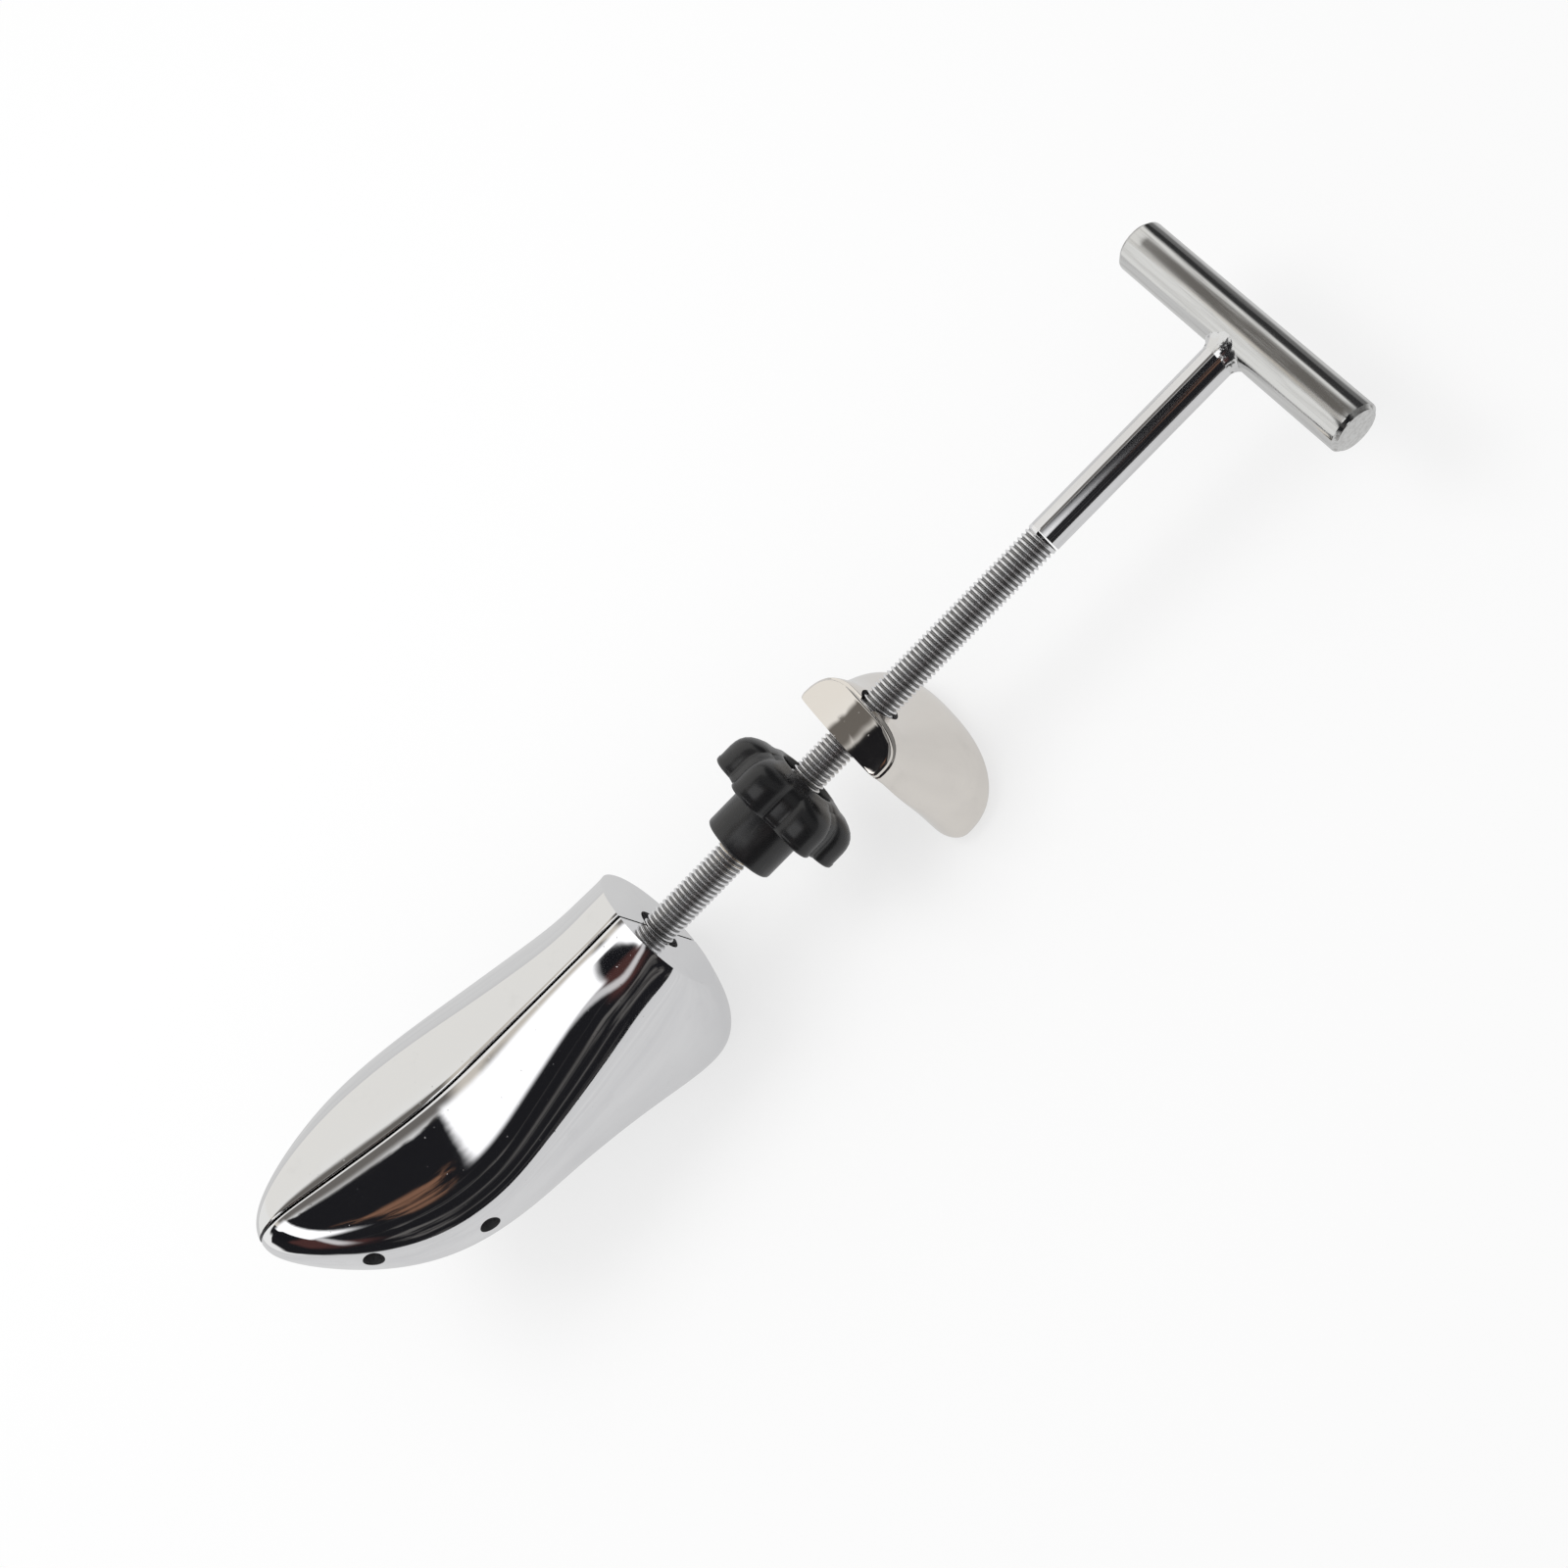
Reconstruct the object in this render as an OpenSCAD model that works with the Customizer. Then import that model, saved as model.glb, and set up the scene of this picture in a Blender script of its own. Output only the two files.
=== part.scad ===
// Shoe stretcher: a split metal toe block opened by a cone on a turned rod, and a heel block
// pushed back along the same rod by a star knob. Units are millimetres.
// The rod runs along +Y, the toe points to -Y, and the floor is z = 0.

/* [Overall] */
// Height of the rod axis above the floor the blocks rest on
axis_h = 40; // [34:1:48]
// Gap between each half of the toe block and the split plane
split_gap = 0.3; // [0.2:0.05:0.6]
// Largest opening angle of each toe half about the nose pin
open_deg = 3.5; // [2:0.5:4]

/* [Toe block] */
// Half width scale of the toe block, 1 is the size in the photo
toe_w_k = 1; // [0.85:0.01:1.15]
// Radius of the rod channel between the two halves
channel_r = 6.85; // [6:0.05:8]
// Wall left around the hollow in each half
wall = 7.5; // [6:0.5:9]
// Distance from the rear face to the end of the cone's chamber
chamber_t = 66; // [60:1:70]

/* [Guide nut] */
// Width of the nut block
nut_w = 16; // [14:0.5:20]
// Length of the nut block along the rod
nut_l = 10; // [8:0.5:11]
// Distance from the rear face to the middle of the nut
nut_t = 12; // [10:0.5:13]
// Radius of the two side trunnions
trunnion_r = 3.5; // [2.5:0.25:4]
// Reach of each trunnion from the rod axis
trunnion_x = 16; // [12:0.5:17]

/* [Spreader] */
// Rim radius of the cone
cone_r = 9; // [7:0.25:9.2]
// Nose radius of the cone
cone_tip_r = 3.6; // [3.4:0.1:4.2]
// Distance from the rear face to the back of the cone with the block closed
cone_t = 31.2; // [30:0.1:33]
// Length of the cone with its straight rim
cone_l = 15; // [12:0.5:16]
// Length of the straight rim
rim_l = 3.3; // [2:0.1:5]

/* [Rod and bar] */
// Outer radius of the threaded rod
rod_r = 5; // [4:0.5:6]
// Radius of the turned journal in the cone
journal_r = 3; // [2.5:0.1:3.2]
// Distance from the rear face to the axis of the cross bar
bar_y = 222.5; // [180:0.5:260]
// Radius of the cross bar
bar_r = 7.5; // [6:0.25:9]
// Length of the cross bar
bar_l = 83; // [60:1:110]
// Chamfer on the ends of the cross bar
bar_cham = 1; // [0.5:0.1:2]

/* [Star knob] */
// Radius of the plain collar
collar_r = 11.2; // [9:0.1:13]
// Start of the collar behind the toe block's rear face
collar_y = 31.5; // [20:0.5:40]
// Start of the lobed head
head_y = 45.4; // [35:0.1:52]
// Rim of the recess in the head's rear face
rim_y = 59.2; // [50:0.1:64]
// Radius over the lobes
knob_r = 21.5; // [18:0.1:26]
// Radius of one lobe
lobe_r = 6.8; // [5:0.1:7.2]
// Radius of the core between the lobes
core_r = 17.3; // [14:0.1:19]
// Radius of the recess round the rod
recess_r = 8.8; // [7.8:0.1:10]

/* [Heel block] */
// Distance from the toe block's rear face to the front of the heel block
heel_y = 73.4; // [66:0.1:110]
// Top of the flat pad above the rod axis
pad_top = 8; // [6:0.1:10]
// Radius of the pad's crown from side to side
crown_r = 60; // [40:1:200]
// Radius of the rod hole through the heel block
heel_hole_r = 6; // [5.4:0.1:7]

/* [Peg sockets] */
// Radius of the blind sockets for bunion pegs
peg_r = 3; // [2:0.1:4]
// Depth of the peg sockets
peg_depth = 5.5; // [4:0.5:6.5]

/* [Hidden] */
$fn = 72;
eps = 0.01;
running = 0.05;
// Furthest reach of the nose, which sets the part's centre with the bar's rear side
nose_t = 132.6;
y_shift = (nose_t - bar_y - bar_r) / 2;

// Toe block stations from the rear face to the nose. Each one is a slanted cut:
// distance and height of its top point, distance and height of its bottom point,
// half width, level of the widest point, upper and lower roundness.
toe_rows = [
    [0, 21.5, 0, -21, 21, 0.49, 2.1, 2.0],
    [2, 22, 3.5, -30, 22.8, 0.42, 2.1, 2.4],
    [8, 22.6, 9, -38, 25.2, 0.34, 2.1, 2.9],
    [20, 23, 19, -44.5, 27.4, 0.30, 2.05, 3.2],
    [34, 23.4, 40, -30, 28.2, 0.34, 2, 3.2],
    [54, 24, 64, -17, 29.8, 0.36, 2, 3.3],
    [70, 24.6, 81, -10.6, 31.6, 0.37, 2, 3.3],
    [86, 29, 97, -4, 31, 0.38, 2, 3.2],
    [99, 34.2, 109, 2.5, 27.6, 0.38, 2.1, 3],
    [110, 38.6, 118.5, 9.5, 22.1, 0.40, 2.2, 2.8],
    [119, 42.4, 126, 17.5, 15.5, 0.44, 2.2, 2.5],
    [126.5, 43.2, 130.4, 24.6, 9.3, 0.48, 2.1, 2.2],
    [131, 39.5, 132.2, 29.5, 4.4, 0.5, 2, 2],
    [132.4, 35, nose_t, 33.4, 1.6, 0.5, 2, 2]];
toe_steps = 30;
toe_points = 18;
// Start and end of the hollow, as runs along the toe loft
hollow_w0 = 0.4;
hollow_w1 = 0.7;

// Heel block levels from the pad down to the sole: height above the rod axis,
// half width, depth from the front face, roundness.
heel_rows = [
    [8.6, 16.2, 10.6, 3],
    [6.9, 16.8, 12.2, 3],
    [5.2, 17, 13, 2.8],
    [3, 17.4, 15.2, 2.5],
    [-2, 18.6, 16.4, 2.2],
    [-10, 21.2, 18.6, 2.1],
    [-19, 24, 22, 2.1],
    [-28, 27.2, 25.4, 2.3],
    [-35, 29.6, 26.4, 2.4],
    [-39, 30.4, 26.2, 2.4],
    [-41, 30.6, 25.6, 2.3]];
heel_steps = 22;
heel_points = 26;
heel_shoulder = 0.12;
heel_taper = 0.02;
heel_lean = 0.07;

// Nose hinge
pin_t = 124;
pin_r = 1.75;
pin_z0 = 22.5;
pin_z1 = 35.5;
knuckle_r = 3.2;
knuckle_air = 0.4;
leaf_t0 = 106;
leaf_t1 = 120.4;
leaf_x0 = 0.4;
leaf_x1 = 2;
leaf_z0 = 23;
leaf_z1 = 35;
knuckle_cut = 4;
knuckle_gap = 0.1;
screw_ts = [109.5, 115.5];
screw_z = 29;
screw_r = 1.5;
screw_head_r = 2.8;
screw_head_h = 1.3;
screw_end = 9;

// Rod end, clip and spring
shoulder_t = 31;
journal_t = 49;
washer_l = 1.2;
clip_t = 46.6;
clip_l = 1;
clip_r = 4.5;
groove_r = 2.5;
spring_t = 72;
spring_z = 8;
spring_pin_x = 10;
spring_pin_r = 2;
spring_pin_z0 = -7;
spring_pin_z1 = 22;
coil_r = 3;
wire_r = 0.55;
coil_x = 5.5;

// Cross bar seat and knob insert
seat_depth = 8;
insert_r = 7.5;
insert_y1 = 53;
lobes = 6;

// Peg sockets on each flank, as places on the toe loft: run and sweep angle
peg_places = [[0.62, 18], [0.48, 6]];

function bsp(rows, w) = let(last = len(rows) - 1, segs = last + 4,
        v = min(w, 1 - 1e-9) * (segs - 1), i = floor(v), t = v - i,
        b = [pow(1 - t, 3), 3 * t * t * t - 6 * t * t + 4,
            -3 * t * t * t + 3 * t * t + 3 * t + 1, t * t * t])
    (b[0] * rows[max(0, min(last, i - 2))] + b[1] * rows[max(0, min(last, i - 1))]
    + b[2] * rows[max(0, min(last, i))] + b[3] * rows[max(0, min(last, i + 1))]) / 6;

// Point of the toe loft: run w from the rear face (0) to the nose (1), sweep a from
// the bottom (-90) to the top (90), side +1 or -1
function toe_pt(w, a, side, inset = 0, x_in = 0) = let(
        r = bsp(toe_rows, w), n = a < 0 ? r[7] : r[6],
        c = max(0, cos(a)), s = sin(a), k = 1 / pow(pow(c, n) + pow(abs(s), n), 1 / n),
        y = s * k, q = y < 0 ? r[5] + y * r[5] : r[5] + y * (1 - r[5]),
        top = r[1] - inset, low = r[3] + inset, half = r[4] * toe_w_k - inset,
        x0 = inset > 0 ? x_in : split_gap)
    [side * (x0 + (half - x0) * c * k), -(r[2] + (r[0] - r[2]) * q), low + (top - low) * q];

function toe_normal(w, a, side) = let(d = 0.002, e = 0.5,
        u = toe_pt(w + d, a, side) - toe_pt(w - d, a, side),
        v = toe_pt(w, a + e, side) - toe_pt(w, a - e, side), n = cross(u, v) * -side)
    n / norm(n);

function flip(f, side) = side < 0 ? f : [for (i = [len(f) - 1:-1:0]) f[i]];

module half_skin(side, w0, w1, steps, points, inset = 0, x_in = 0) {
    m = points + 1;
    pts = [for (i = [0:steps]) for (j = [0:points])
        toe_pt(w0 + (w1 - w0) * i / steps, -90 + 180 * j / points, side, inset, x_in)];
    skin = [for (i = [0:steps - 1]) for (j = [0:points - 1]) each [
        flip([i * m + j, i * m + j + 1, (i + 1) * m + j + 1], side),
        flip([i * m + j, (i + 1) * m + j + 1, (i + 1) * m + j], side)]];
    rear = flip([for (j = [points:-1:0]) j], side);
    nose = flip([for (j = [0:points]) steps * m + j], side);
    split = flip([for (i = [0:steps]) i * m, for (i = [steps:-1:0]) i * m + points], side);
    polyhedron(points = pts, faces = concat(skin, [rear, nose, split]), convexity = 6);
}

module place() {
    translate([0, y_shift, axis_h]) children();
}

module along_y(r, y0, y1) {
    translate([0, y0, 0]) rotate([-90, 0, 0]) cylinder(r = r, h = y1 - y0);
}

module along_x(r, x0, x1) {
    translate([x0, 0, 0]) rotate([0, 90, 0]) cylinder(r = r, h = x1 - x0);
}

module turned_y(profile) {
    rotate([-90, 0, 0]) rotate_extrude() polygon(profile);
}

module block(x0, x1, t0, t1, z0, z1) {
    translate([min(x0, x1), -t1, z0]) cube([abs(x1 - x0), t1 - t0, z1 - z0]);
}

// Chamber for the cone: its sloping walls ride on the cone as the halves open
module chamber(side) {
    high = cone_r + 0.8;
    side_x = cone_r + 1;
    end = chamber_t;
    translate([0, 0, -high]) linear_extrude(2 * high)
        polygon([[-side, -20], [side * side_x, -20], [side * side_x, -34], [side * 9.35, -35.3],
            [side * 6.85, -42.4], [side * 4.8, -50.2], [side * 4.8, -end], [-side, -end]]);
}

// Relief that lets the nose close while the rear opens
module nose_relief(side) {
    far = nose_t + 6;
    slope = tan(open_deg);
    linear_extrude(60)
        polygon([[0, -pin_t], [side * split_gap, -pin_t],
            [side * (split_gap + (far - pin_t) * slope), -far], [0, -far]]);
}

module peg_sockets(side) {
    for (p = peg_places) {
        at = toe_pt(p[0], p[1], side);
        n = toe_normal(p[0], p[1], side);
        translate(at - n * peg_depth)
            rotate([0, acos(n[2]), atan2(n[1], n[0])]) cylinder(r = peg_r, h = peg_depth + 3);
    }
}

module toe_half(side) {
    slot_y = trunnion_r + 1.4;
    slot_z = trunnion_r + 0.4;
    nut_air = 0.7;
    difference() {
        half_skin(side, 0, 1, toe_steps, toe_points);
        block(-60, 60, -10, nose_t + 10, -axis_h - 20, -axis_h);
        along_y(channel_r, -21, 2);
        block(-eps, side * (nut_w / 2 + 0.3), nut_t - nut_l / 2 - nut_air,
            nut_t + nut_l / 2 + nut_air, -nut_w / 2 - 0.4, nut_w / 2 + 0.4);
        block(-eps, side * (trunnion_x + 0.4), nut_t - slot_y, nut_t + slot_y, -slot_z, slot_z);
        chamber(side);
        half_skin(side, hollow_w0, hollow_w1, 8, 10, wall, -1);
        block(-eps, side * (leaf_x1 + 0.05), leaf_t0 - 0.3, leaf_t1 + 1, leaf_z0 - 0.5,
            leaf_z1 + 0.5);
        translate([0, -pin_t, pin_z0 - 0.5])
            cylinder(r = knuckle_r + knuckle_air, h = pin_z1 - pin_z0 + 1);
        for (t = screw_ts) translate([0, -t, screw_z])
            along_x(screw_r, min(0, side * (screw_end + 0.5)), max(0, side * (screw_end + 0.5)));
        translate([side * spring_pin_x, -spring_t, spring_pin_z0])
            cylinder(r = spring_pin_r, h = spring_pin_z1 - spring_pin_z0);
        nose_relief(side);
        peg_sockets(side);
    }
}

module toe_half_left() {
    color([0.80, 0.81, 0.82]) place() toe_half(1);
}

module toe_half_right() {
    color([0.74, 0.75, 0.77]) place() toe_half(-1);
}

// Knuckle spans of the right leaf are at the ends, the left leaf has the middle one
module knuckles(side) {
    z_a = leaf_z0 + knuckle_cut;
    z_b = leaf_z1 - knuckle_cut;
    spans = side > 0 ? [[z_a + knuckle_gap, z_b - knuckle_gap]] :
        [[leaf_z0, z_a], [z_b, leaf_z1]];
    for (s = spans) {
        translate([0, -pin_t, s[0]]) cylinder(r = knuckle_r, h = s[1] - s[0]);
        block(side * leaf_x0, side * leaf_x1, leaf_t1 - 1, pin_t, s[0], s[1]);
    }
}

module hinge_leaf(side) {
    difference() {
        union() {
            block(side * leaf_x0, side * leaf_x1, leaf_t0, leaf_t1, leaf_z0, leaf_z1);
            knuckles(side);
        }
        translate([0, -pin_t, pin_z0 - 1]) cylinder(r = pin_r + running, h = 20);
        for (t = screw_ts) translate([0, -t, screw_z]) {
            along_x(screw_r + 0.05, -5, 5);
            rotate([0, side * 90, 0]) cylinder(r1 = screw_head_r + leaf_x0,
                r2 = screw_r, h = screw_head_h + leaf_x0);
        }
    }
}

module hinge_leaf_left() {
    color([0.72, 0.66, 0.45]) place() hinge_leaf(1);
}

module hinge_leaf_right() {
    color([0.68, 0.62, 0.42]) place() hinge_leaf(-1);
}

module hinge_pin() {
    color([0.55, 0.56, 0.58]) place() translate([0, -pin_t, pin_z0])
        cylinder(r = pin_r, h = pin_z1 - pin_z0);
}

module leaf_screws(side) {
    for (t = screw_ts) translate([0, -t, screw_z]) rotate([0, side * 90, 0]) {
        translate([0, 0, leaf_x0]) cylinder(r1 = screw_head_r, r2 = screw_r, h = screw_head_h);
        translate([0, 0, leaf_x0]) cylinder(r = screw_r, h = screw_end - leaf_x0);
    }
}

module leaf_screws_left() {
    color([0.60, 0.61, 0.63]) place() leaf_screws(1);
}

module leaf_screws_right() {
    color([0.58, 0.59, 0.61]) place() leaf_screws(-1);
}

module guide_nut() {
    color([0.80, 0.66, 0.34]) place() difference() {
        union() {
            block(-nut_w / 2, nut_w / 2, nut_t - nut_l / 2, nut_t + nut_l / 2,
                -nut_w / 2, nut_w / 2);
            translate([0, -nut_t, 0]) along_x(trunnion_r, -trunnion_x, trunnion_x);
        }
        along_y(rod_r + running, -nut_t - nut_l, -nut_t + nut_l);
    }
}

module spreader_cone() {
    tail = cone_t + washer_l;
    color([0.62, 0.63, 0.65]) place() turned_y([[journal_r + running, -tail],
        [cone_r, -tail], [cone_r, -cone_t - rim_l], [cone_tip_r, -cone_t - cone_l],
        [journal_r + running, -cone_t - cone_l]]);
}

module thrust_washer() {
    washer_r = 7.5;
    color([0.76, 0.62, 0.32]) place() turned_y([[journal_r + running, -cone_t - washer_l],
        [washer_r, -cone_t - washer_l], [washer_r, -cone_t], [journal_r + running, -cone_t]]);
}

module cone_clip() {
    color([0.25, 0.26, 0.28]) place() turned_y([[groove_r, -clip_t - clip_l],
        [clip_r, -clip_t - clip_l], [clip_r, -clip_t], [groove_r, -clip_t]]);
}

// Close wound tension coil with a hook round each dowel
module return_spring() {
    turns = 10;
    step = 2 * coil_x / turns;
    inner = coil_r - wire_r;
    wave = [for (i = [0:turns - 1]) for (a = [180:-30:30])
        [coil_r + wire_r * sin(a), -coil_x + step * (i + 0.5) + step / 2 * cos(a)]];
    hook = spring_pin_r + wire_r + 0.15;
    color([0.45, 0.46, 0.48]) place() translate([0, -spring_t, spring_z]) {
        rotate([0, 90, 0]) rotate_extrude()
            polygon(concat([[inner, -coil_x]], wave, [[coil_r, coil_x], [inner, coil_x]]));
        for (m = [1, -1]) {
            translate([m * spring_pin_x, 0, 0]) rotate_extrude()
                translate([hook, 0]) circle(r = wire_r, $fn = 24);
            rotate([0, m * 90, 0]) translate([0, 0, coil_x - 0.5])
                cylinder(r = wire_r, h = spring_pin_x - hook - coil_x + 0.6, $fn = 24);
            translate([m * (coil_x - 0.5), 0, 0]) rotate([0, 90, 0])
                cylinder(r = coil_r - wire_r / 2, h = 0.5 + eps, center = m < 0);
        }
    }
}

module spring_pin(side) {
    translate([side * spring_pin_x, -spring_t, spring_pin_z0])
        cylinder(r = spring_pin_r, h = spring_pin_z1 - spring_pin_z0);
}

module spring_pin_left() {
    color([0.60, 0.60, 0.62]) place() spring_pin(1);
}

module spring_pin_right() {
    color([0.56, 0.56, 0.58]) place() spring_pin(-1);
}

// Rod with a turned journal and clip groove at the toe end
module screw_rod() {
    rod_end = bar_y - bar_r + seat_depth;
    color([0.78, 0.79, 0.81]) place() turned_y([[0, -journal_t], [journal_r - 0.5, -journal_t],
        [journal_r, -journal_t + 0.5], [journal_r, -clip_t - clip_l - running],
        [groove_r, -clip_t - clip_l - running], [groove_r, -clip_t + running],
        [journal_r, -clip_t + running], [journal_r, -shoulder_t], [rod_r, -shoulder_t],
        [rod_r, rod_end], [0, rod_end]]);
}

module bar_solid() {
    half = bar_l / 2;
    translate([0, bar_y, 0]) rotate([0, 90, 0]) rotate_extrude()
        polygon([[0, -half], [bar_r - bar_cham, -half], [bar_r, -half + bar_cham],
            [bar_r, half - bar_cham], [bar_r - bar_cham, half], [0, half]]);
}

module cross_bar() {
    color([0.78, 0.79, 0.81]) place() difference() {
        bar_solid();
        along_y(rod_r, bar_y - bar_r - 2, bar_y - bar_r + seat_depth);
    }
}

module weld_bead() {
    root = bar_y - bar_r;
    color([0.66, 0.67, 0.69]) place() difference() {
        turned_y([[rod_r, root - 2.6], [rod_r + 0.7, root - 1.8], [rod_r + 1.7, root + 0.2],
            [rod_r + 2.5, root + 2.4], [rod_r + 2.6, root + 4], [rod_r + 1.8, root + 5],
            [rod_r, root + 5]]);
        translate([0, bar_y, 0]) along_x(bar_r, -20, 20);
    }
}

// Outline of the head: a thin lip at the front, then a domed shoulder to the recess rim
function dome() = [[0, head_y], [knob_r, head_y], [knob_r, head_y + 5.6],
    [knob_r - 0.25, head_y + 7.4], [knob_r - 1, head_y + 8.9], [knob_r - 2.2, head_y + 10.2],
    [knob_r - 4, head_y + 11.4], [knob_r - 6.4, head_y + 12.5],
    [knob_r - 9, rim_y - 0.5], [knob_r - 11, rim_y - 0.1], [recess_r + 0.6, rim_y],
    [0, rim_y]];

// The knob: collar, six round lobes trimmed by the dome, and a recess round the rod
module star_knob() {
    color([0.10, 0.10, 0.11]) place() difference() {
        union() {
            along_y(collar_r, collar_y, head_y + 1);
            intersection() {
                union() {
                    along_y(core_r, head_y, rim_y);
                    for (i = [0:lobes - 1]) rotate([0, i * 360 / lobes, 0])
                        translate([0, 0, knob_r - lobe_r])
                            along_y(lobe_r, head_y - 1, rim_y + 1);
                }
                turned_y(dome());
            }
        }
        along_y(recess_r, insert_y1 + 1, rim_y + 1);
        along_y(insert_r, collar_y - 1, insert_y1 + 2);
    }
}

module knob_insert() {
    color([0.75, 0.62, 0.34]) place() turned_y([[rod_r + running, collar_y + 0.1],
        [insert_r, collar_y + 0.1], [insert_r, insert_y1], [rod_r + running, insert_y1]]);
}

// Point of one heel level: row and place along the outline
function heel_pt(r, j) = let(a = -30 + 240 * j / heel_points, ca = cos(a), sa = sin(a),
        n = r[3], c = heel_shoulder * r[2], k = sa < 0 ? min(1, abs(sa) / 0.5) : 0,
        m = sa < 0 ? 1 : 1 / pow(pow(abs(ca), n) + pow(sa, n), 1 / n),
        x = sa < 0 ? sign(ca) * r[1] * (1 - heel_taper * k * k) : r[1] * ca * m,
        d = sa < 0 ? c * (1 - k) : c + (r[2] - c) * sa * m)
    [x, heel_y + heel_lean * min(0, r[0]) + d, r[0]];

module heel_skin() {
    m = heel_points + 1;
    rows = [for (i = [0:heel_steps]) bsp(heel_rows, i / heel_steps)];
    pts = [for (r = rows) for (j = [0:heel_points]) heel_pt(r, j)];
    skin = [for (i = [0:heel_steps - 1]) for (j = [0:heel_points]) let(q = (j + 1) % m) each [
        [i * m + j, i * m + q, (i + 1) * m + q],
        [i * m + j, (i + 1) * m + q, (i + 1) * m + j]]];
    top = [for (j = [heel_points:-1:0]) j];
    sole = [for (j = [0:heel_points]) heel_steps * m + j];
    polyhedron(points = pts, faces = concat(skin, [top, sole]), convexity = 6);
}

module heel_block() {
    color([0.80, 0.80, 0.79]) place() difference() {
        intersection() {
            heel_skin();
            translate([0, 0, pad_top - crown_r]) along_y(crown_r, 40, 160);
        }
        along_y(heel_hole_r, 40, 160);
        block(-60, 60, -160, -40, -axis_h - 20, -axis_h);
    }
}

toe_half_left();
toe_half_right();
hinge_leaf_left();
hinge_leaf_right();
hinge_pin();
leaf_screws_left();
leaf_screws_right();
guide_nut();
spreader_cone();
thrust_washer();
cone_clip();
return_spring();
spring_pin_left();
spring_pin_right();
screw_rod();
cross_bar();
weld_bead();
star_knob();
knob_insert();
heel_block();
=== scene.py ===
import math

import bmesh
import bpy
from mathutils import Matrix, Vector


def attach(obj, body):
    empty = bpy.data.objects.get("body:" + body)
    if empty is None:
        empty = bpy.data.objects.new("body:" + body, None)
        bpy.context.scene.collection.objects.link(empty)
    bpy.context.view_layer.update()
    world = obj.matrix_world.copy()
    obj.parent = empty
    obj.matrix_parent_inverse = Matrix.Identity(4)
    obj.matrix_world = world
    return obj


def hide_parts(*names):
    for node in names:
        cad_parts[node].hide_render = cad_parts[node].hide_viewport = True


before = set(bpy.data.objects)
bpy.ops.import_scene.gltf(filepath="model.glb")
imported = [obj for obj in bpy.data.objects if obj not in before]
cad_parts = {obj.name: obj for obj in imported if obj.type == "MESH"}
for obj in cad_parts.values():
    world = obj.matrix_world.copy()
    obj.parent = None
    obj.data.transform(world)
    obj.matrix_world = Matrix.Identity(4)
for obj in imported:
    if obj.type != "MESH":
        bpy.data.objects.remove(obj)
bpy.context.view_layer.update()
scene = bpy.context.scene
scene.view_settings.view_transform = "Standard"

# Sizes, in mm, in the rod frame: x to the left half, t from the toe block's rear face to the
# nose, y the other way towards the handle, z up from the rod axis.
AXIS_H = 40.0
NOSE_T = 132.6
BAR_Y, BAR_R, BAR_L, BAR_CHAM = 222.5, 7.5, 83.0, 1.0
Y_SHIFT = (NOSE_T - BAR_Y - BAR_R) / 2
GAP = 0.3
ROD_R, PITCH, THREAD_END = 5.0, 1.5, 149.0
SHOULDER_T, JOURNAL_T, JOURNAL_R = 31.0, 49.0, 3.0
CLIP_GROOVE_R, CLIP_GROOVE = 2.5, (46.6, 47.6)
KNOB_R, LOBE_R, CORE_R, COLLAR_R = 21.5, 6.8, 17.3, 11.2
COLLAR_Y, HEAD_Y, RIM_Y, RECESS_R = 31.5, 45.4, 59.2, 8.8
INSERT_R, RECESS_FLOOR_Y = 7.5, 54.0
HEEL_Y, PAD_TOP, CROWN_R, HEEL_HOLE_R = 73.4, 8.0, 60.0, 6.0
HEEL_LEAN = 0.07

# Toe stations: top point (t, z), bottom point (t, z), half width, level of the widest
# point, upper and lower roundness
TOE = [
    (0, 21.5, 0, -21, 21, .49, 2.1, 2.0), (2, 22, 3.5, -30, 22.8, .42, 2.1, 2.4),
    (8, 22.6, 9, -38, 25.2, .34, 2.1, 2.9), (20, 23, 19, -44.5, 27.4, .30, 2.05, 3.2),
    (34, 23.4, 40, -30, 28.2, .34, 2, 3.2), (54, 24, 64, -17, 29.8, .36, 2, 3.3),
    (70, 24.6, 81, -10.6, 31.6, .37, 2, 3.3), (86, 29, 97, -4, 31, .38, 2, 3.2),
    (99, 34.2, 109, 2.5, 27.6, .38, 2.1, 3), (110, 38.6, 118.5, 9.5, 22.1, .40, 2.2, 2.8),
    (119, 42.4, 126, 17.5, 15.5, .44, 2.2, 2.5), (126.5, 43.2, 130.4, 24.6, 9.3, .48, 2.1, 2.2),
    (131, 39.5, 132.2, 29.5, 4.4, .5, 2, 2), (132.4, 35, NOSE_T, 33.4, 1.6, .5, 2, 2)]
# Heel levels: z, half width, depth, roundness
HEEL = [
    (8.6, 16.2, 10.6, 3), (6.9, 16.8, 11.8, 3), (5.2, 17, 12.4, 2.8), (3, 17.4, 13.8, 2.5),
    (-2, 18.6, 14.8, 2.2), (-10, 21.2, 17.0, 2.1), (-19, 24, 20.4, 2.1), (-28, 27.2, 24.8, 2.3),
    (-35, 29.6, 26.2, 2.4), (-39, 30.4, 25.8, 2.4), (-41, 30.6, 25.2, 2.3)]


def at(x, y, z):
    """A point of the rod frame, in mm, as a point of the scene, in metres."""
    return Vector((x, y + Y_SHIFT, z + AXIS_H)) / 1000


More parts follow.
